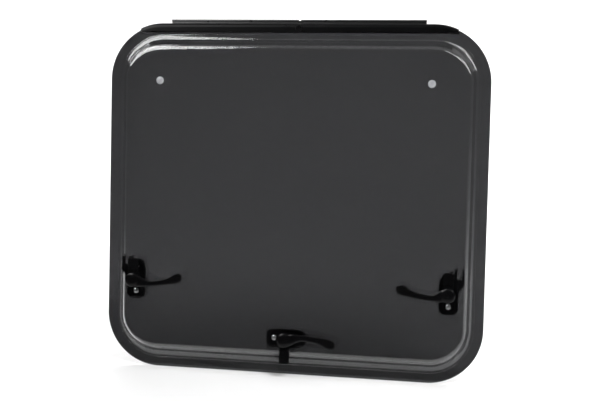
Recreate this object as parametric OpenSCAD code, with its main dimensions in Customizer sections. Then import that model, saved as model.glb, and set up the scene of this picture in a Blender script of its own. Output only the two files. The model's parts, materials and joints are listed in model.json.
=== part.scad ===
/* [Panes] */
// Width of the outer pane
pane_w = 550; // [450:1:800]
// Height of the outer pane
pane_h = 500; // [400:1:700]
// Thickness of the outer pane
pane_t = 4; // [3:0.5:5]
// Radius of the two upper corners
corner_top = 80; // [60:1:110]
// Radius of the two lower corners
corner_bottom = 78; // [60:1:110]
// How far the face of the inner pane stands off the outer pane
tray_depth = 16.5; // [12:0.5:24]
// Sheet thickness of the inner pane
sheet_t = 2.5; // [2:0.25:3]
// Bare margin beside the inner pane, when it sits in the middle
foot_side = 14.25; // [13:0.25:22]
// How far the inner pane sits to the right of the middle
tray_shift = 1.25; // [0:0.25:2]
// Bare margin below the inner pane
foot_bottom = 13.5; // [12:0.5:22]
// Bare margin above the inner pane
foot_top = 14.5; // [14:0.5:20]
// Distance from the side edge to the flat face of the inner pane
face_side = 31.25; // [28:0.25:40]
// Distance from the bottom edge to the flat face of the inner pane
face_bottom = 37; // [30:0.5:44]
// Distance from the top edge to the flat face of the inner pane
face_top = 38; // [30:0.5:44]

/* [Vent plugs] */
// Distance of each vent plug from the middle
plug_x = 195; // [120:1:200]
// Height of the vent plugs above the pane's bottom edge
plug_z = 418; // [300:1:440]
// Diameter of a plug's head
plug_d = 11; // [10:0.5:14]

/* [Hinge strip] */
// Length of the strip on the pane's top edge
strip_len = 457; // [400:1:457]
// Height of the strip on the pane's face
strip_h = 11.2; // [9:0.2:12.4]
// How far the strip stands off the pane on the inner side
strip_front = 9; // [6:0.5:10]
// Thickness of the strip's leg on the outer side
strip_back = 2; // [1.5:0.5:3]
// How far the strip stands above the pane's edge
strip_cap = 1.3; // [1:0.1:2]
// Length of the hinge lip
lip_len = 368; // [300:1:380]
// Height of the lip above the pane's edge
lip_h = 7.2; // [6:0.1:9]

/* [Handles] */
// Distance of the left handle's pivot from the middle
left_x = 225; // [180:0.1:226.7]
// Height of the left handle's pivot
left_z = 130.7; // [120:0.1:250]
// Distance of the right handle's pivot from the middle
right_x = 226.7; // [180:0.1:226.7]
// Height of the right handle's pivot
right_z = 130; // [120:0.1:250]
// Height of the bottom handle's pivot
bottom_z = 55.5; // [55:0.5:80]
// Length of a handle's base plate
plate_l = 58; // [54:1:60]
// Width of a handle's base plate
plate_w = 27; // [26:0.5:30]
// Spacing of a base plate's two screws
screw_span = 36; // [32:1:38]
// Diameter of a handle's hub
hub_d = 20.5; // [18:0.5:22]
// Diameter of a handle's spindle
spindle_d = 8; // [6:0.5:10]
// Length of a lever from pivot to tip
lever_len = 72; // [60:1:90]
// Length of a side handle's tongue from the pivot
tongue_side = 31; // [28:0.5:36]
// Length of the bottom handle's tongue from the pivot
tongue_bottom = 34; // [28:0.5:36]
// Width of a tongue
tongue_w = 14.5; // [12:0.5:16]
// Angle by which the opened side levers are turned from upright
opened_by = 90; // [0:1:90]

/* [Stay brackets] */
// Distance from pivot to the middle of the fork
fork_x = 14.3; // [14:0.1:15.5]
// Gap between the fork's two prongs
fork_gap = 7; // [5:0.1:7]
// Thickness of a prong
prong_t = 3.2; // [2:0.1:3.4]
// Height of the prongs' tips above the pivot
fork_top = 35; // [32:0.5:38]
// Diameter of the hole for the stay's pin
stay_pin_d = 4; // [3:0.5:5]

/* [Hidden] */
$fn = 96;
smoke = [0.13, 0.13, 0.14];
tint = [0.32, 0.33, 0.35, 0.6];
black = [0.07, 0.07, 0.075];
steel = [0.78, 0.79, 0.8];
milk = [0.75, 0.77, 0.79];
eps = 0.01;

// The frame's origin is on the lip's flat outer face. Heights below are counted
// from the pane's bottom edge and depths from the pane's inner side, so every
// node is shifted once.
lip_y = 3;
lip_z = pane_h + 3;
face_y = -tray_depth;
module place() { translate([0, -lip_y, -lip_z]) children(); }

// Extrudes a drawing of (x, z) from the plane y towards the room by t.
module toward_room(y, t) { translate([0, y, 0]) rotate([90, 0, 0]) linear_extrude(t) children(); }

// Rectangle with the given upper and lower corner radii, made of true arcs.
module rounded_sheet(x0, x1, z0, z1, rt, rb) {
    translate([x0 + rb, z0]) square([x1 - x0 - 2 * rb, z1 - z0]);
    translate([x0 + rt, z1 - rt]) square([x1 - x0 - 2 * rt, rt]);
    translate([x0, z0 + rb]) square([x1 - x0, z1 - z0 - rt - rb]);
    for (s = [0, 1]) {
        translate([s == 0 ? x0 + rb : x1 - rb, z0 + rb]) circle(rb);
        translate([s == 0 ? x0 + rt : x1 - rt, z1 - rt]) circle(rt);
    }
}
module pane_outline(grow = 0) {
    rounded_sheet(-pane_w / 2 - grow, pane_w / 2 + grow, -grow, pane_h + grow, corner_top + grow, corner_bottom + grow);
}

// --- panes ---
module outer_pane() { color(smoke) toward_room(pane_t, pane_t) pane_outline(); }

// The inner pane is a tray formed from sheet: a narrow foot bonded to the outer
// pane, a sloping wall and a flat face. Each ring follows the pane's outline at
// its own inset. Part of the way from foot to face, and depth, of each ring:
tray_front = [[0, 0], [0, 0.01], [0.045, 0.08], [0.1, 0.14], [0.199, 0.156], [0.292, 0.203], [0.376, 0.279],
    [0.443, 0.376], [0.657, 0.764], [0.724, 0.861], [0.808, 0.937], [0.902, 0.984], [1, 1]];
tray_back = [[0.2, 0], [0.336, 0.077], [0.438, 0.17], [0.519, 0.288], [0.736, 0.673], [0.789, 0.745], [0.855, 0.802],
    [0.928, 0.838]];
corner_steps = 10;
function corner_pt(k, a, s, b, t) =
    k == 0 ? [pane_w / 2 - corner_bottom + (corner_bottom - s) * cos(a), corner_bottom + (corner_bottom - b) * sin(a)] :
    k == 1 ? [pane_w / 2 - corner_top + (corner_top - s) * cos(a), pane_h - corner_top + (corner_top - t) * sin(a)] :
    k == 2 ? [-pane_w / 2 + corner_top + (corner_top - s) * cos(a), pane_h - corner_top + (corner_top - t) * sin(a)] :
             [-pane_w / 2 + corner_bottom + (corner_bottom - s) * cos(a), corner_bottom + (corner_bottom - b) * sin(a)];
function mixed(a, b, w) = a + (b - a) * w;
function tray_ring(w, y) = [for (k = [0:3]) for (i = [0:corner_steps])
    let (a = -90 + 90 * k + 90 * i / corner_steps,
        p = corner_pt(k, a, mixed(foot_side, face_side, w), mixed(foot_bottom, face_bottom, w), mixed(foot_top, face_top, w)))
    [p[0] + tray_shift, y, p[1]]];
module tray_solid() {
    n = 4 * (corner_steps + 1);
    nf = len(tray_front);
    nb = len(tray_back);
    back_depth = tray_depth - sheet_t;
    rings = concat(
        [for (i = [0:nb - 1]) tray_ring(tray_back[nb - 1 - i][0] + (i == 0 ? 0.072 : 0), i == 0 ? -back_depth : -tray_back[nb - 1 - i][1] * tray_depth)],
        [for (i = [0:nf - 1]) tray_ring(tray_front[i][0], -tray_front[i][1] * tray_depth)]);
    m = nf + nb;
    pts = [for (r = rings) for (p = r) p];
    polyhedron(pts, concat(
        [[for (j = [0:n - 1]) n - 1 - j]],
        [for (i = [0:m - 2]) for (j = [0:n - 1]) [i * n + j, i * n + (j + 1) % n, (i + 1) * n + (j + 1) % n]],
        [for (i = [0:m - 2]) for (j = [0:n - 1]) [i * n + j, (i + 1) * n + (j + 1) % n, (i + 1) * n + j]],
        [[for (j = [0:n - 1]) (m - 1) * n + j]]), convexity = 6);
}
module sheet_hole(x, z, r) { translate([x, face_y - 1, z]) rotate([-90, 0, 0]) cylinder(r = r, h = sheet_t + 2); }
module inner_pane() {
    color(tint) difference() {
        tray_solid();
        for (s = [-1, 1]) {
            sheet_hole(s * plug_x, plug_z, 4.1);
            sheet_hole(-left_x, left_z + s * screw_span / 2, 2.1);
            sheet_hole(right_x, right_z + s * screw_span / 2, 2.1);
            sheet_hole(s * screw_span / 2, bottom_z, 2.1);
        }
    }
}

// A vent plug: a low round head with a dimple, and a stem through the sheet.
module vent_plug(x) {
    color(milk) translate([x, face_y, plug_z]) rotate([90, 0, 0]) rotate_extrude()
        polygon([[0, -sheet_t], [4, -sheet_t], [4, 0], [plug_d / 2, 0], [plug_d / 2, 0.7], [plug_d / 2 - 0.8, 1.5],
            [2.2, 2], [1.5, 1.2], [0, 1.2]]);
}
module left_vent_plug() { vent_plug(-plug_x); }
module right_vent_plug() { vent_plug(plug_x); }

// --- hinge strip along the top edge ---
// Section of the strip: y from the room side to the outer side, z from the middle
// of the pane's corners.
strip_round = 6.5;
strip_x = pane_w / 2 - corner_top;
module strip_section() {
    r = strip_round;
    y0 = -strip_front;
    top = corner_top + strip_cap;
    translate([y0, top - 24]) square([pane_t + strip_back - y0, 24 - r]);
    translate([y0 + r, top - r - eps]) square([pane_t + strip_back - y0 - r, r + eps]);
    translate([y0 + r, top - r]) circle(r);
}
// The strip is straight between the corners and bends with them at its ends.
module strip_body() {
    translate([-strip_x, 0, pane_h - corner_top]) rotate([90, 0, 90]) linear_extrude(2 * strip_x) strip_section();
    for (s = [-1, 1]) translate([s * strip_x, 0, pane_h - corner_top]) rotate([90, 0, 0]) rotate_extrude() rotate(-90) strip_section();
}
module hinge_strip() {
    z0 = pane_h - strip_h;
    color(black) difference() {
        intersection() {
            strip_body();
            translate([-strip_len / 2, -30, z0]) cube([strip_len, 60, 60]);
        }
        // channel between the strip's front leg and the pane
        translate([-strip_len / 2 + 14, -strip_front + 2, z0 - 1]) cube([strip_len - 28, strip_front - 3.5, 8]);
        toward_room(pane_t, pane_t) pane_outline();
        // seat and hole of the lock screw
        translate([lock_x, -strip_front - 1, lock_z]) rotate([-90, 0, 0]) cylinder(d = 4.1, h = 8.6);
        translate([lock_x, -strip_front - 1, lock_z]) rotate([-90, 0, 0]) cylinder(d = lock_d + 0.6, h = 1 + lock_seat);
    }
}

// The lip stands on the strip and hooks into the rail on the vehicle's wall. Its
// outer face is flat, and a bead runs along its top on the room side.
lock_x = 5;
lock_z = pane_h - 6.2;
lock_d = 9;
lock_seat = 1;
notch_r = 2.1;
module hinge_lip() {
    z0 = pane_h + strip_cap;
    color(black) difference() {
        union() {
            translate([-lip_len / 2, lip_y - 2, z0]) cube([lip_len, 2, pane_h + lip_h - z0]);
            translate([-lip_len / 2, lip_y - 1.9, pane_h + lip_h - 1.6]) rotate([0, 90, 0]) cylinder(r = 1.6, h = lip_len);
        }
        translate([lock_x, 8, pane_h + lip_h]) rotate([90, 0, 0]) cylinder(r = notch_r, h = 14);
    }
}
module hinge_lock_screw() {
    color(black) translate([lock_x, -strip_front + lock_seat, lock_z]) rotate([90, 0, 0]) {
        difference() {
            cylinder(d = lock_d, h = 1.6);
            translate([0, 0, 0.9]) cylinder(d = 5, h = 1);
        }
        translate([0, 0, -5.5]) cylinder(d = 4, h = 6);
    }
}

// --- handles ---
// A handle is drawn about its pivot in its locked position: lever up, tongue to
// the left. x and z are across and along, y stays the depth.
floor_h = 3;
rim_h = 6.5;
boss_h = 14.2;
tongue_h = 14.6;
hub_h = 20.2;
function h2y(h) = face_y - h;

// Plate outline: round corners below, a rounded nose above. The fork's corner is
// cut away when forked.
nose_z = 14;
module plate_outline(inset, forked) {
    w = plate_w / 2 - inset;
    l = plate_l / 2 - inset;
    r = 8.5 - inset;
    n = plate_l / 2 + 0.5 - nose_z - inset;
    difference() {
        union() {
            translate([-w, -l + r]) square([2 * w, l - r + nose_z]);
            translate([-w + r, -l]) square([2 * (w - r), r + eps]);
            for (s = [-1, 1]) translate([s * (w - r), -l + r]) circle(r);
            polygon([for (i = [0:20]) [w * cos(9 * i), nose_z - eps + n * sin(9 * i)]]);
        }
        if (forked) translate([-plate_w, fork_low - inset]) square([plate_w - fork_in + inset, plate_l]);
    }
}
// Edges of the fork relative to the pivot
fork_out = fork_x + fork_gap / 2 + prong_t;
fork_in = fork_x - fork_gap / 2 - prong_t - 0.4;
fork_low = 8;
module plate(forked) {
    color(black) difference() {
        union() {
            toward_room(face_y, floor_h) plate_outline(0, forked);
            difference() {
                toward_room(h2y(floor_h - eps), rim_h - floor_h) plate_outline(0, forked);
                toward_room(h2y(floor_h - 1), 5) plate_outline(2.2, forked);
            }
            translate([0, h2y(floor_h - 1), 0]) rotate([90, 0, 0]) cylinder(r = 9.2, h = boss_h - floor_h + 1);
        }
        translate([0, h2y(1.2), 0]) rotate([90, 0, 0]) cylinder(r = spindle_d / 2 + 0.05, h = boss_h);
        for (s = [-1, 1]) translate([0, face_y + 1, s * screw_span / 2]) rotate([90, 0, 0]) cylinder(r = 2.15, h = 10);
        if (forked) translate([-fork_in - 1, h2y(1.7), tab_z0 - 0.2]) cube([fork_in + 5.7, 2.7, tab_z1 - tab_z0 + 0.4]);
    }
}

// Fork for a window stay, with a tab held under the base plate.
tab_z0 = 12.5;
tab_z1 = 23.5;
fork_t = 7;
tip_r = 3.4;
module fork() {
    xo = -fork_out;
    xi = -fork_in - 0.2;
    pin_h = fork_t / 2;
    pin_z = fork_top - tip_r;
    color(black) difference() {
        union() {
            toward_room(face_y, fork_t)
                polygon([[xo, pin_z], [xo, 12], [-plate_w / 2 - 0.2, 2.5], [-plate_w / 2 - 0.2, fork_low + 0.2],
                    [xi, fork_low + 0.2], [xi, pin_z]]);
            translate([xo, h2y(fork_t - tip_r), pin_z]) rotate([0, 90, 0]) cylinder(r = tip_r, h = xi - xo);
            toward_room(face_y, 1.5) translate([xi - 1, tab_z0]) square([-xi + 5.5, tab_z1 - tab_z0]);
        }
        translate([xo + prong_t, -60, 20.5]) cube([fork_gap, 60, 30]);
        translate([xo - 1, h2y(pin_h), pin_z]) rotate([0, 90, 0]) cylinder(d = stay_pin_d, h = xi - xo + 2);
        translate([0, face_y + 1, screw_span / 2]) rotate([90, 0, 0]) cylinder(r = 2.15, h = 4);
    }
}

// Pan-head screw through plate and sheet
module plate_screw(z) {
    color(steel) translate([0, h2y(floor_h), z]) rotate([90, 0, 0]) {
        difference() {
            rotate_extrude() polygon([[0, 0], [3.9, 0], [3.9, 1], [3.5, 1.9], [2.5, 2.5], [0, 2.8]]);
            translate([-2.1, -0.45, 1.4]) cube([4.2, 0.9, 3]);
            translate([-0.45, -2.1, 1.4]) cube([0.9, 4.2, 3]);
        }
        translate([0, 0, -floor_h - sheet_t]) cylinder(r = 2, h = floor_h + sheet_t + 0.2);
    }
}

// Tongue: a ring under the hub, a neck and a raised catch block.
module tongue(len) {
    w = tongue_w / 2;
    color(black) difference() {
        union() {
            translate([0, h2y(tongue_h), 0]) rotate([90, 0, 0]) cylinder(r = hub_d / 2 - 0.4, h = hub_h - tongue_h - 0.1);
            toward_room(h2y(tongue_h), 3.6) translate([-len + 6, -w]) square([len - 6, 2 * w]);
            difference() {
                toward_room(h2y(tongue_h), 5.4) {
                    translate([-len + 3, -w]) square([len - 3 - 14.4, 2 * w]);
                    translate([-len, -w + 3]) square([6, 2 * w - 6]);
                    for (s = [-1, 1]) translate([-len + 3, s * (w - 3)]) circle(3);
                }
                // lead-in under the tip
                translate([-len - 4, h2y(tongue_h), -w - 1]) rotate([0, 0, -14]) cube([12, 6, 2 * w + 2]);
            }
        }
        translate([0, h2y(tongue_h - 1), 0]) rotate([90, 0, 0]) cylinder(r = spindle_d / 2 + 0.02, h = 9);
    }
}

// Lever arm: rings along the arm, each an oval with its own middle, half width
// and half thickness. Along, across (positive on the tongue's side), height.
arm = [
    [0.08, -0.4, 23.2, 8.6, 2.5], [0.17, -2.1, 23.2, 7.4, 2.8], [0.24, -3.4, 23, 5.8, 2.9], [0.31, -4.3, 22.5, 4.7, 2.8],
    [0.4, -4.3, 21.8, 4.3, 2.7], [0.5, -3.4, 20.8, 4.4, 2.7], [0.6, -2.3, 19.6, 4.6, 2.6], [0.68, -1, 18.5, 5.1, 2.5],
    [0.75, 0.5, 17.6, 6.1, 2.5], [0.81, 2.3, 16.8, 7.3, 2.4], [0.87, 3.6, 16.1, 8.1, 2.3], [0.93, 4.4, 15.5, 7.3, 2.2],
    [0.97, 4.6, 15.1, 5.9, 1.9], [0.99, 4.6, 15, 4.2, 1.5], [1, 4.6, 14.9, 2.4, 0.9]];
arm_sides = 16;
function squared(c) = sign(c) * pow(abs(c), 0.72);
function arm_ring(a) = [for (j = [0:arm_sides - 1]) let (t = 360 * (j + 0.5) / arm_sides)
    [-a[1] + a[3] * squared(cos(t)), h2y(a[2] - a[4] * squared(sin(t))), a[0] * lever_len]];
module lever_arm() {
    n = arm_sides;
    m = len(arm);
    pts = [for (a = arm) for (p = arm_ring(a)) p];
    polyhedron(pts, concat(
        [[for (j = [0:n - 1]) j]],
        [for (i = [0:m - 2]) for (j = [0:n - 1]) [i * n + j, (i + 1) * n + (j + 1) % n, i * n + (j + 1) % n]],
        [for (i = [0:m - 2]) for (j = [0:n - 1]) [i * n + j, (i + 1) * n + j, (i + 1) * n + (j + 1) % n]],
        [[for (j = [0:n - 1]) m * n - 1 - j]]), convexity = 4);
}
module lever() {
    r = hub_d / 2;
    color(black) union() {
        // hub with a domed cap
        translate([0, h2y(hub_h), 0]) rotate([90, 0, 0]) rotate_extrude()
            polygon([[0, 0], [r, 0], [r, 4.2], [r - 0.5, 5.1], [r - 1.5, 5.8], [r - 3.2, 6.4], [r - 5.6, 6.8], [0, 7]]);
        // spindle through the tongue into the base
        translate([0, h2y(1.6), 0]) rotate([90, 0, 0]) cylinder(d = spindle_d, h = hub_h - 1.6 + 1);
        lever_arm();
    }
}

// Left: drawn locked, turned a quarter so that the lever points inwards.
module at_left() { translate([-left_x, 0, left_z]) children(); }
module at_right() { translate([right_x, 0, right_z]) mirror([1, 0, 0]) children(); }
// Bottom: the right-hand handle laid on its side, locked.
module at_bottom() { translate([0, 0, bottom_z]) rotate([0, 90, 0]) mirror([1, 0, 0]) children(); }
module opened() { rotate([0, opened_by, 0]) children(); }

module left_handle_base() { at_left() plate(true); }
module left_upper_screw() { at_left() plate_screw(screw_span / 2); }
module left_lower_screw() { at_left() plate_screw(-screw_span / 2); }
module left_stay_bracket() { at_left() fork(); }
module left_tongue() { at_left() opened() tongue(tongue_side); }
module left_lever() { at_left() opened() lever(); }
module right_handle_base() { at_right() plate(true); }
module right_upper_screw() { at_right() plate_screw(screw_span / 2); }
module right_lower_screw() { at_right() plate_screw(-screw_span / 2); }
module right_stay_bracket() { at_right() fork(); }
module right_tongue() { at_right() opened() tongue(tongue_side); }
module right_lever() { at_right() opened() lever(); }
module bottom_handle_base() { at_bottom() plate(false); }
module bottom_outer_screw() { at_bottom() plate_screw(-screw_span / 2); }
module bottom_inner_screw() { at_bottom() plate_screw(screw_span / 2); }
module bottom_tongue() { at_bottom() tongue(tongue_bottom); }
module bottom_lever() { at_bottom() lever(); }

place() outer_pane();
place() inner_pane();
place() hinge_strip();
place() hinge_lip();
place() hinge_lock_screw();
place() left_vent_plug();
place() right_vent_plug();
place() left_handle_base();
place() left_upper_screw();
place() left_lower_screw();
place() left_stay_bracket();
place() left_tongue();
place() left_lever();
place() right_handle_base();
place() right_upper_screw();
place() right_lower_screw();
place() right_stay_bracket();
place() right_tongue();
place() right_lever();
place() bottom_handle_base();
place() bottom_outer_screw();
place() bottom_inner_screw();
place() bottom_tongue();
place() bottom_lever();
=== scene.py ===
import json
import math
import bpy
import bmesh
from mathutils import Matrix, Quaternion, Vector


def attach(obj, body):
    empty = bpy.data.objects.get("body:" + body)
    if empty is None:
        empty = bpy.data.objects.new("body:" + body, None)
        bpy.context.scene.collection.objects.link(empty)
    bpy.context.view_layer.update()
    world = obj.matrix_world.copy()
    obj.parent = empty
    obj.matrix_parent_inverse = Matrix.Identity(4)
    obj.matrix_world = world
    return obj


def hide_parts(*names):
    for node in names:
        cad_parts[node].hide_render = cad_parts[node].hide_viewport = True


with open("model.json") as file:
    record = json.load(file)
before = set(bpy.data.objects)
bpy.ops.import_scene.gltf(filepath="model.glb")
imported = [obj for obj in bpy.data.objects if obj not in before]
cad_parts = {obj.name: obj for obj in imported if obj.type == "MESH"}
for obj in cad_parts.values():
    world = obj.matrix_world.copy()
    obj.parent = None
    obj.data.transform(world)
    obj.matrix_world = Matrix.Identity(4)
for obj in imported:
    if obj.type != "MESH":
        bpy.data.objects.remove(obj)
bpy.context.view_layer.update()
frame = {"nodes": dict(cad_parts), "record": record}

# ---------------------------------------------------------------- camera
scene = bpy.context.scene
SHIFT = Vector((0.0, -0.003, -0.503))          # from the pane's own frame to the model's frame


def camera():
    yaw, pitch, roll = math.radians(11.132), math.radians(3.266), math.radians(1.326)
    cy, sy, cp, sp = math.cos(yaw), math.sin(yaw), math.cos(pitch), math.sin(pitch)
    back = Vector((sy * cp, -cy * cp, sp))
    right = Vector((cy, sy, 0.0))
    up = back.cross(right)
    r2 = right * math.cos(roll) + up * math.sin(roll)
    u2 = up * math.cos(roll) - right * math.sin(roll)
    data = bpy.data.cameras.new("camera")
    data.sensor_fit = "HORIZONTAL"
    data.sensor_width = 36.0
    data.lens = 66.70
    data.clip_start = 0.05
    data.clip_end = 60.0
    obj = bpy.data.objects.new("camera", data)
    scene.collection.objects.link(obj)
    m = Matrix((r2, u2, back)).transposed().to_4x4()
    m.translation = Vector((0.3167, -1.5539, 0.3412)) + SHIFT
    obj.matrix_world = m
    scene.camera = obj
    return obj


cam = camera()
scene.view_settings.view_transform = "Standard"


# ---------------------------------------------------------------- helpers
def new_object(name, mesh):
    obj = bpy.data.objects.new(name, mesh)
    scene.collection.objects.link(obj)
    return obj


def material(name):
    mat = bpy.data.materials.new(name)
    mat.use_nodes = True
    nt = mat.node_tree
    bsdf = nt.nodes["Principled BSDF"]
    return mat, nt, bsdf


def link(nt, a, b):
    nt.links.new(a, b)


def noise(nt, scale, detail=4.0, rough=0.55, coords=None, distortion=0.0):
    n = nt.nodes.new("ShaderNodeTexNoise")
    n.inputs["Scale"].default_value = scale
    n.inputs["Detail"].default_value = detail
    n.inputs["Roughness"].default_value = rough
    n.inputs["Distortion"].default_value = distortion
    if coords is None:
        coords = nt.nodes.new("ShaderNodeTexCoord").outputs["Object"]
    link(nt, coords, n.inputs["Vector"])
    return n


def ramp(nt, value, stops):
    r = nt.nodes.new("ShaderNodeValToRGB")
    el = r.color_ramp.elements
    el[0].position, el[0].color = stops[0][0], (*stops[0][1], 1)
    el[1].position, el[1].color = stops[-1][0], (*stops[-1][1], 1)
    for p, c in stops[1:-1]:
        e = el.new(p)
        e.color = (*c, 1)
    link(nt, value, r.inputs["Fac"])
    return r.outputs["Color"]


def grey(v):
    return (v, v, v)


def bump(nt, height, strength, distance, bsdf):
    b = nt.nodes.new("ShaderNodeBump")
    b.inputs["Strength"].default_value = strength
    b.inputs["Distance"].default_value = distance
    link(nt, height, b.inputs["Height"])
    link(nt, b.outputs["Normal"], bsdf.inputs["Normal"])
    return b


# ---------------------------------------------------------------- materials
def smoked_acrylic():
    mat, nt, b = material("smoked_acrylic")
    n = noise(nt, 2.2, 2.0)
    col = ramp(nt, n.outputs["Fac"], [(0.3, (0.022, 0.022, 0.023)), (0.7, (0.0245, 0.0245, 0.0258))])
    link(nt, col, b.inputs["Base Color"])
    b.inputs["IOR"].default_value = 1.49
    b.inputs["Transmission Weight"].default_value = 1.0
    f = noise(nt, 45.0, 4.0)
    link(nt, ramp(nt, f.outputs["Fac"], [(0.35, grey(0.0)), (0.8, grey(0.012))]), b.inputs["Roughness"])
    w = noise(nt, 4.0, 0.0)
    bump(nt, w.outputs["Fac"], 0.02, 0.0004, b)
    return mat


def clear_acrylic():
    mat, nt, b = material("clear_acrylic")
    n = noise(nt, 2.5, 3.0)
    col = ramp(nt, n.outputs["Fac"], [(0.3, (0.94, 0.945, 0.95)), (0.7, (0.975, 0.978, 0.98))])
    link(nt, col, b.inputs["Base Color"])
    b.inputs["IOR"].default_value = 1.49
    b.inputs["Transmission Weight"].default_value = 1.0
    f = noise(nt, 45.0, 4.0)
    link(nt, ramp(nt, f.outputs["Fac"], [(0.35, grey(0.0)), (0.8, grey(0.012))]), b.inputs["Roughness"])
    w = noise(nt, 4.0, 0.0)
    bump(nt, w.outputs["Fac"], 0.02, 0.0004, b)
    return mat


def moulded_parts(name, base, rough, spread, grain, sheen):
    mat, nt, b = material(name)
    n = noise(nt, 35.0, 5.0)
    lo = tuple(c * 0.75 for c in base)
    hi = tuple(c * 1.35 for c in base)
    link(nt, ramp(nt, n.outputs["Fac"], [(0.3, lo), (0.7, hi)]), b.inputs["Base Color"])
    f = noise(nt, 120.0, 4.0)
    link(nt, ramp(nt, f.outputs["Fac"], [(0.3, grey(max(rough - spread, 0.05))), (0.72, grey(rough + spread))]), b.inputs["Roughness"])
    g = noise(nt, grain, 3.0)
    bump(nt, g.outputs["Fac"], 0.25, 0.00012, b)
    b.inputs["IOR"].default_value = 1.5
    b.inputs["Specular IOR Level"].default_value = sheen
    return mat, nt, b


def moulded(*look):
    return moulded_parts(*look)[0]


def along(nt, axis, scale, offset):
    """One object coordinate, scaled and offset."""
    xyz = nt.nodes.new("ShaderNodeSeparateXYZ")
    link(nt, nt.nodes.new("ShaderNodeTexCoord").outputs["Object"], xyz.inputs["Vector"])
    mm = nt.nodes.new("ShaderNodeMath")
    mm.operation = "MULTIPLY_ADD"
    mm.inputs[1].default_value = scale
    mm.inputs[2].default_value = offset
    link(nt, xyz.outputs[axis], mm.inputs[0])
    return mm.outputs[0]


def strip_black():
    """Extruded strip, its upper lip left glossier."""
    mat, nt, b = moulded_parts("strip_black", (0.0015, 0.0015, 0.0017), 0.3, 0.03, 500.0, 0.1)
    link(nt, ramp(nt, along(nt, "Z", 50.0, 0.5), [(0.39, grey(0.09)), (0.41, grey(0.95))]), b.inputs["Specular IOR Level"])
    return mat


def screw_steel():
    mat, nt, b = material("screw_steel")
    b.inputs["Metallic"].default_value = 1.0
    n = noise(nt, 300.0, 4.0)
    link(nt, ramp(nt, n.outputs["Fac"], [(0.3, (0.3, 0.3, 0.31)), (0.7, (0.42, 0.42, 0.43))]), b.inputs["Base Color"])
    f = noise(nt, 700.0, 4.0)
    link(nt, ramp(nt, f.outputs["Fac"], [(0.3, grey(0.14)), (0.75, grey(0.34))]), b.inputs["Roughness"])
    bump(nt, f.outputs["Fac"], 0.15, 0.0001, b)
    return mat


def plug_white():
    mat, nt, b = material("plug_white")
    n = noise(nt, 160.0, 4.0)
    link(nt, ramp(nt, n.outputs["Fac"], [(0.3, (0.25, 0.255, 0.265)), (0.7, (0.34, 0.345, 0.355))]), b.inputs["Base Color"])
    link(nt, ramp(nt, n.outputs["Fac"], [(0.3, grey(0.3)), (0.75, grey(0.45))]), b.inputs["Roughness"])
    b.inputs["Subsurface Weight"].default_value = 0.25
    b.inputs["Subsurface Radius"].default_value = (0.002, 0.002, 0.002)
    bump(nt, n.outputs["Fac"], 0.1, 0.0002, b)
    return mat


MATS = {
    "smoked_acrylic": smoked_acrylic(),
    "clear_acrylic": clear_acrylic(),
    "strip_black": strip_black(),
    "moulded_black": moulded("moulded_black", (0.0016, 0.0016, 0.0018), 0.2, 0.05, 1200.0, 0.14),
    "screw_steel": screw_steel(),
    "plug_white": plug_white(),
}

slot_of = {s["node"]: s["material_slot"] for s in frame["record"]["subparts"]}
for node, obj in frame["nodes"].items():
    mat = MATS[slot_of[node]]
    for i in range(len(obj.material_slots)):
        obj.material_slots[i].material = mat

# ---------------------------------------------------------------- shapes
MM = 0.001


def spline(points, steps):
    """Catmull-Rom through points, each a tuple of numbers."""
    out = []
    n = len(points)
    for i in range(n - 1):
        p0, p1, p2, p3 = points[max(i - 1, 0)], points[i], points[i + 1], points[min(i + 2, n - 1)]
        for k in range(steps):
            t = k / steps
            out.append(tuple(0.5 * (2 * b + (c - a) * t + (2 * a - 5 * b + 4 * c - d) * t * t
                                    + (3 * b - a - 3 * c + d) * t ** 3) for a, b, c, d in zip(p0, p1, p2, p3)))
    out.append(tuple(points[-1]))
    return out


def ring_mesh(name, rings, cap_first=True, cap_last=True, closed=False):
    n = len(rings[0])
    verts = [v for r in rings for v in r]
    faces = []
    m = len(rings)
    for i in range(m if closed else m - 1):
        a, b = i * n, ((i + 1) % m) * n
        for j in range(n):
            k = (j + 1) % n
            faces.append((a + j, a + k, b + k, b + j))
    if cap_first and not closed:
        faces.append(tuple(range(n - 1, -1, -1)))
    if cap_last and not closed:
        faces.append(tuple((m - 1) * n + j for j in range(n)))
    me = bpy.data.meshes.new(name)
    me.from_pydata([tuple(v) for v in verts], [], faces)
    bm = bmesh.new()
    bm.from_mesh(me)
    bmesh.ops.recalc_face_normals(bm, faces=bm.faces)
    bm.to_mesh(me)
    bm.free()
    for p in me.polygons:
        p.use_smooth = True
    return me


def outline(side, bottom, top, y, steps=40, shift=0.0):
    """The pane's outline at its own insets (mm), at depth y (mm), in the model's frame."""
    pts = []
    for k in range(4):
        sx = 1 if k in (0, 1) else -1
        r, cz, ins = (80.0, 420.0, top) if k in (1, 2) else (78.0, 78.0, bottom)
        cx = sx * (275.0 - r)
        for i in range(steps + 1):
            a = math.radians(-90 + 90 * k + 90 * i / steps)
            pts.append(Vector(((cx + shift + (r - side) * math.cos(a)) * MM, y * MM, (cz + (r - ins) * math.sin(a)) * MM)) + SHIFT)
    return pts


def apply_all(obj):
    dg = bpy.context.evaluated_depsgraph_get()
    dg.update()
    me = bpy.data.meshes.new_from_object(obj.evaluated_get(dg))
    old = obj.data
    obj.modifiers.clear()
    obj.data = me
    bpy.data.meshes.remove(old)
    return obj


def finish_piece(obj, slot, body, *nodes):
    obj.data.materials.clear()
    obj.data.materials.append(MATS[slot])
    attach(obj, body)
    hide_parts(*nodes)
    return obj


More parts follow.
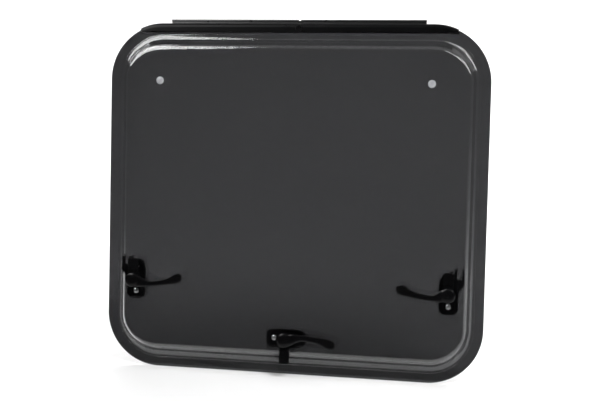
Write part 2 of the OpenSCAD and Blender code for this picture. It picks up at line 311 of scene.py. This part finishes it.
# Outer pane: flat sheet with its polished edge rounded over.
def make_outer_pane():
    e = 0.7
    prof = [(0.0, 0.0)]
    rings = []
    for i in range(7):
        a = math.radians(90 * i / 6)
        rings.append((e - e * math.sin(a), e - e * math.cos(a)))
    lower = [(ins, y) for ins, y in rings]
    upper = [(ins, 4.0 - y) for ins, y in reversed(rings)]
    rr = [(e + 1.5, 0.0)] + lower + upper + [(e + 1.5, 4.0)]
    me = ring_mesh("outer_pane_sheet", [outline(i, i, i, y) for i, y in rr])
    return finish_piece(new_object("outer_pane_sheet", me), "smoked_acrylic", "sash", "outer_pane")


LEFT, RIGHT, BOTTOM = (-225.0, 130.7), (226.7, 130.0), (0.0, 55.5)      # the handles' pivots


# Inner pane: formed tray, front and back skins, with its drilled holes.
FOOT, FACE, DEPTH, SHEET = 14.5, 38.0, 16.5, 2.5      # along the top edge, mm
FOOT_T, BEND, WALL = 2.31, 10.3, 51.6                  # foot thickness, bend radius, wall angle


def tray_profile():
    """Front and back curves of the formed sheet as (part of the way, depth in mm)."""
    front = [(FOOT, 0.0), (FOOT, 0.15), (FOOT, 1.7), (FOOT + 0.08, 1.98), (FOOT + 0.3, 2.2), (FOOT + 0.6, FOOT_T), (FOOT + 2.35, FOOT_T)]
    back = [(FOOT + 2.35, 0.08)]
    x0 = FOOT + 2.35
    steps = 14
    bends = [(WALL * i / steps, False) for i in range(1, steps + 1)] + [(WALL * (steps - i) / steps, True) for i in range(0, steps + 1)]
    for deg, upper in bends:
        a = math.radians(deg)
        if upper:
            x, d = FACE - BEND * math.sin(a), DEPTH - BEND * (1 - math.cos(a))
        else:
            x, d = x0 + BEND * math.sin(a), FOOT_T + BEND * (1 - math.cos(a))
        t = (FOOT_T - 0.08) + (SHEET - FOOT_T + 0.08) * (d - FOOT_T) / (DEPTH - FOOT_T)
        front.append((x, d))
        back.append((x + t * math.sin(a), d - t * math.cos(a)))
    front.append((FACE + 1.2, DEPTH))
    back.append((FACE + 1.2, DEPTH - SHEET))
    w = lambda c: [((x - FOOT) / (FACE - FOOT), d) for x, d in c]
    return w(front), w([(FOOT, 0.08)] + back)


def tray_ring(w, d):
    return outline(14.25 + 17.0 * w, 13.5 + 23.5 * w, 14.5 + 23.5 * w, -d, shift=1.25)


def make_inner_pane():
    front, back = tray_profile()
    front[0] = (front[0][0], 0.08)
    rings = [tray_ring(w, d) for w, d in reversed(back[1:])] + [tray_ring(w, d) for w, d in front]
    me = ring_mesh("inner_pane_tray", rings)
    obj = new_object("inner_pane_tray", me)
    holes = [(s * 195.0, 418.0, 4.1) for s in (-1, 1)]
    holes += [(x, z + t * 18.0, 2.1) for x, z in (LEFT, RIGHT) for t in (-1, 1)] + [(t * 18.0, BOTTOM[1], 2.1) for t in (-1, 1)]
    bm = bmesh.new()
    for x, z, r in holes:
        m = Matrix.Translation(Vector((x * MM, -15.2 * MM, z * MM)) + SHIFT) @ Matrix.Rotation(math.pi / 2, 4, "X")
        bmesh.ops.create_cone(bm, cap_ends=True, segments=40, radius1=r * MM, radius2=r * MM, depth=0.008, matrix=m)
    cut = bpy.data.meshes.new("holes")
    bm.to_mesh(cut)
    bm.free()
    tool = new_object("holes", cut)
    mod = obj.modifiers.new("holes", "BOOLEAN")
    mod.operation = "DIFFERENCE"
    mod.solver = "EXACT"
    mod.object = tool
    apply_all(obj)
    bpy.data.objects.remove(tool)
    sharp_by_angle(obj.data, 40)
    return finish_piece(obj, "clear_acrylic", "sash", "inner_pane")


def sharp_by_angle(me, degrees):
    for p in me.polygons:
        p.use_smooth = True
    bm = bmesh.new()
    bm.from_mesh(me)
    lim = math.radians(degrees)
    for e in bm.edges:
        if len(e.link_faces) == 2:
            e.smooth = e.calc_face_angle(0.0) < lim
    bm.to_mesh(me)
    bm.free()


# A CAD piece again with its moulded edges rounded.
def rounded(node, body, width, segments=3, name=None, angle=32):
    src = frame["nodes"][node]
    bm = bmesh.new()
    bm.from_mesh(src.data)
    bm.transform(src.matrix_world)
    bmesh.ops.remove_doubles(bm, verts=bm.verts, dist=2e-6)
    bmesh.ops.dissolve_limit(bm, angle_limit=math.radians(0.6), verts=bm.verts, edges=bm.edges)
    bmesh.ops.recalc_face_normals(bm, faces=bm.faces)
    me = bpy.data.meshes.new(name or node + "_piece")
    bm.to_mesh(me)
    bm.free()
    obj = new_object(me.name, me)
    for p in me.polygons:
        p.use_smooth = True
    mod = obj.modifiers.new("edges", "BEVEL")
    mod.width = width * MM
    mod.segments = segments
    mod.limit_method = "ANGLE"
    mod.angle_limit = math.radians(angle)
    mod.harden_normals = False
    mod.use_clamp_overlap = True
    wn = obj.modifiers.new("normals", "WEIGHTED_NORMAL")
    wn.weight = 80
    wn.keep_sharp = False
    apply_all(obj)
    return finish_piece(obj, slot_of[node], body, node)


# Levers: hub, neck and paddle in one moulding.
ARM = [(0.08, -0.4, 23.2, 8.6, 2.5), (0.17, -2.1, 23.2, 7.4, 2.8), (0.24, -3.4, 23.0, 5.8, 2.9), (0.31, -4.3, 22.5, 4.7, 2.8),
       (0.4, -4.3, 21.8, 4.3, 2.7), (0.5, -3.4, 20.8, 4.4, 2.7), (0.6, -2.3, 19.6, 4.6, 2.6), (0.68, -1.0, 18.5, 5.1, 2.5),
       (0.75, 0.5, 17.6, 6.1, 2.5), (0.81, 2.3, 16.8, 7.3, 2.4), (0.87, 3.6, 16.1, 8.1, 2.3), (0.93, 4.4, 15.5, 7.3, 2.2),
       (0.97, 4.6, 15.1, 5.9, 1.9), (0.99, 4.6, 15.0, 4.2, 1.5), (1.0, 4.6, 14.9, 2.4, 0.9)]


def place_left(a, b, h):
    """along, across, height above the face (mm) for the left handle, opened."""
    return Vector((LEFT[0] + a, -16.5 - h, LEFT[1] + b))


def place_right(a, b, h):
    return Vector((RIGHT[0] - a, -16.5 - h, RIGHT[1] + b))


def place_bottom(a, b, h):
    return Vector((BOTTOM[0] + a, -16.5 - h, BOTTOM[1] - b))


def make_lever(name, place, body):
    bm = bmesh.new()

    def add(rings):
        n = len(rings[0])
        vs = [[bm.verts.new(place(*p) * MM + SHIFT) for p in r] for r in rings]
        for r0, r1 in zip(vs, vs[1:]):
            for j in range(n):
                bm.faces.new((r0[j], r0[(j + 1) % n], r1[(j + 1) % n], r1[j]))
        bm.faces.new(list(reversed(vs[0])))
        bm.faces.new(vs[-1])

    arm = spline(ARM, 5)
    n = 28
    rings = []
    for a, c, h, w, t in arm:
        ring = []
        for j in range(n):
            ang = 2 * math.pi * (j + 0.5) / n
            cs, sn = math.cos(ang), math.sin(ang)
            p = 0.55
            ring.append((a * 72.0, c + w * math.copysign(abs(cs) ** p, cs), h + t * math.copysign(abs(sn) ** p, sn)))
        rings.append(ring)
    add(rings)
    prof = [(10.25, 20.2), (10.25, 24.4), (9.9, 25.2), (8.9, 26.0), (7.2, 26.6), (4.8, 27.0), (2.2, 27.2), (0.5, 27.2)]
    add([[(r * math.cos(2 * math.pi * j / 64), r * math.sin(2 * math.pi * j / 64), h) for j in range(64)] for r, h in prof])
    add([[(4.0 * math.cos(2 * math.pi * j / 32), 4.0 * math.sin(2 * math.pi * j / 32), h) for j in range(32)] for h in (1.6, 21.5)])
    bmesh.ops.recalc_face_normals(bm, faces=bm.faces)
    me = bpy.data.meshes.new(name)
    bm.to_mesh(me)
    bm.free()
    obj = new_object(name, me)
    mod = obj.modifiers.new("one", "REMESH")
    mod.mode = "VOXEL"
    mod.voxel_size = 0.00045
    sm = obj.modifiers.new("soft", "SMOOTH")
    sm.factor = 0.5
    sm.iterations = 5
    apply_all(obj)
    for p in obj.data.polygons:
        p.use_smooth = True
    return finish_piece(obj, "moulded_black", body, name.replace("_piece", ""))


make_outer_pane()
make_inner_pane()
rounded("hinge_strip", "sash", 0.35)
rounded("hinge_lip", "sash", 0.25)
rounded("hinge_lock_screw", "sash", 0.2)
for side in ("left", "right"):
    rounded(side + "_vent_plug", "sash", 0.2)
    rounded(side + "_stay_bracket", "sash", 0.35)
for side in ("left", "right", "bottom"):
    rounded(side + "_handle_base", "sash", 0.5)
    rounded(side + "_tongue", side + "_latch", 0.4)
for n in ("left_upper", "left_lower", "right_upper", "right_lower", "bottom_outer", "bottom_inner"):
    rounded(n + "_screw", "sash", 0.12)
make_lever("left_lever_piece", place_left, "left_latch")
make_lever("right_lever_piece", place_right, "right_latch")
make_lever("bottom_lever_piece", place_bottom, "bottom_latch")

# ---------------------------------------------------------------- stage and light
FLOOR_Z = -0.5032
FRONT = -0.02          # the panes mirror no floor in front of this


def sheet(name, prof, half):
    verts, faces = [], []
    for x in (-half, half):
        verts += [(x, y, FLOOR_Z + z) for y, z in prof]
    n = len(prof)
    for i in range(n - 1):
        faces.append((i, n + i, n + i + 1, i + 1))
    me = bpy.data.meshes.new(name)
    me.from_pydata(verts, [], faces)
    for p in me.polygons:
        p.use_smooth = True
    obj = new_object(name, me)
    me.materials.append(PAPER)
    return obj


def paper():
    mat, nt, b = material("paper")
    b.inputs["Base Color"].default_value = (0.9, 0.9, 0.9, 1)
    b.inputs["Roughness"].default_value = 0.9
    return mat


PAPER = paper()


def stage():
    depth, rise, r = 2.0, 3.0, 0.7
    prof = [(FRONT, 0.0), (depth - r, 0.0)]
    for i in range(1, 17):
        a = math.pi / 2 * i / 16
        prof.append((depth - r + r * math.sin(a), r - r * math.cos(a)))
    prof.append((depth, rise))
    sheet("floor", prof, 1.55)
    near = sheet("floor_front", [(-5.0, 0.0), (FRONT, 0.0)], 1.55)
    near.visible_glossy = False
    near.visible_transmission = False


stage()


def area(name, loc, target, size, radiance, roll=0.0):
    """Softbox; loc and target in the pane's own frame, size in metres, roll in degrees."""
    light = bpy.data.lights.new(name, "AREA")
    light.shape = "RECTANGLE"
    light.size, light.size_y = size
    light.energy = radiance * math.pi * size[0] * size[1]
    obj = bpy.data.objects.new(name, light)
    scene.collection.objects.link(obj)
    d = Vector(target) - Vector(loc)
    obj.location = Vector(loc) + SHIFT
    obj.rotation_euler = (d.to_track_quat("-Z", "Y") @ Quaternion((0.0, 0.0, 1.0), math.radians(roll))).to_euler()
    return obj


def studio_world():
    """Dim room over a pale floor that shows at the sides."""
    world = bpy.data.worlds.new("studio")
    scene.world = world
    world.use_nodes = True
    nt = world.node_tree
    bg = nt.nodes["Background"]
    xyz = nt.nodes.new("ShaderNodeSeparateXYZ")
    link(nt, nt.nodes.new("ShaderNodeTexCoord").outputs["Generated"], xyz.inputs["Vector"])
    half = nt.nodes.new("ShaderNodeMath")
    half.operation = "MULTIPLY_ADD"
    half.inputs[1].default_value = 0.5
    half.inputs[2].default_value = 0.5
    link(nt, xyz.outputs["Z"], half.inputs[0])
    over = nt.nodes.new("ShaderNodeMath")
    over.operation = "MULTIPLY_ADD"
    over.inputs[1].default_value = 0.5
    over.inputs[2].default_value = 0.5
    link(nt, xyz.outputs["X"], over.inputs[0])
    z, x = half.outputs[0], over.outputs[0]

    def blend(part, a, b):
        mix = nt.nodes.new("ShaderNodeMix")
        mix.data_type = "RGBA"
        link(nt, part, mix.inputs["Factor"])
        link(nt, a, mix.inputs["A"])
        link(nt, b, mix.inputs["B"])
        return mix.outputs["Result"]

    up = [(0.8, grey(0.1)), (0.88, grey(0.5)), (1.0, grey(0.5))]
    middle = ramp(nt, z, [(0.0, grey(1.2)), (0.26, grey(1.0)), (0.29, grey(0.5)), (0.34, grey(0.05)), (0.45, grey(0.05)), (0.55, grey(0.06))] + up)
    left = ramp(nt, z, [(0.0, grey(1.1)), (0.38, grey(0.75)), (0.42, grey(0.5)), (0.46, grey(0.08)), (0.51, grey(0.06))] + up)
    right = ramp(nt, z, [(0.0, grey(1.2)), (0.42, grey(1.2)), (0.45, grey(0.7)), (0.475, grey(0.35)), (0.51, grey(0.1))] + up)
    room = blend(ramp(nt, x, [(0.015, grey(1.0)), (0.25, grey(0.0))]), middle, left)
    room = blend(ramp(nt, x, [(0.75, grey(0.0)), (0.985, grey(1.0))]), room, right)
    link(nt, room, bg.inputs["Color"])
    bg.inputs["Strength"].default_value = 1.0


studio_world()
area("soft_left", (-0.955, -0.776, 1.235), (-0.189, -0.133, 1.235), (1.34, 0.97), 8.0, -10.0).visible_diffuse = False
area("soft_left_upper", (-1.007, -0.715, 2.19), (-0.241, -0.072, 2.19), (1.22, 0.94), 8.0).visible_diffuse = False
area("soft_right", (1.31, -0.58, 1.27), (0.2, 0.0, 0.5), (0.55, 0.72), 8.0).visible_diffuse = False
area("key", (0.9, -1.5, 1.7), (0.0, 0.0, 0.1), (0.9, 0.9), 24.5).visible_glossy = False
area("backdrop", (0.0, 1.35, 2.35), (0.0, 2.7, 0.7), (3.0, 0.9), 12.0).visible_glossy = False
